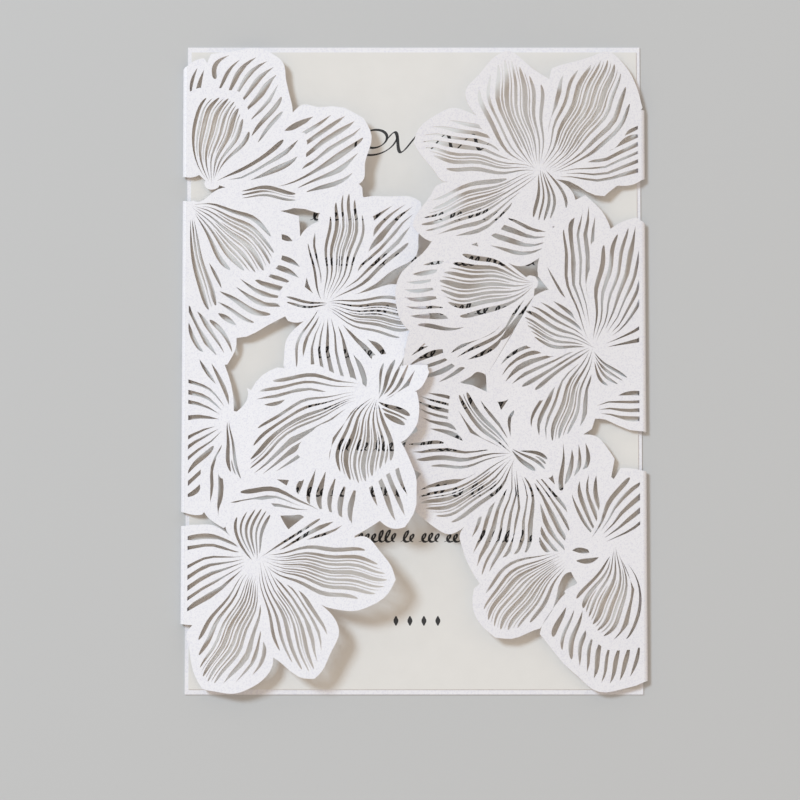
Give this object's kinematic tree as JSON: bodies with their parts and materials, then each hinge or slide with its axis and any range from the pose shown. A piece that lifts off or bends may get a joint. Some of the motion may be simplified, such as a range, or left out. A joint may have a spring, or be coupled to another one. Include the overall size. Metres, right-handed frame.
{
  "type": "laser-cut gate-fold invitation card",
  "caption": "Flat gate-fold invitation: one folded sheet of pearl card with interlocking laser-cut floral gates over a plain insert card.",
  "frame": {"origin": "under the middle of the back panel, on the surface that the card lies on", "axes": "+X across the card to its right side, +Y up the card to its top edge, +Z out of its front"},
  "size_m": [0.127, 0.178, 0.0105],
  "materials": {
    "pearl_card": "white pearl card with a faint shimmer",
    "ivory_card": "smooth matt ivory card",
    "black_ink": "matt black printing ink"
  },
  "bodies": {
    "root": {"gatefold_wrap": "pearl_card", "insert_card": "ivory_card"}
  },
  "joints": []
}
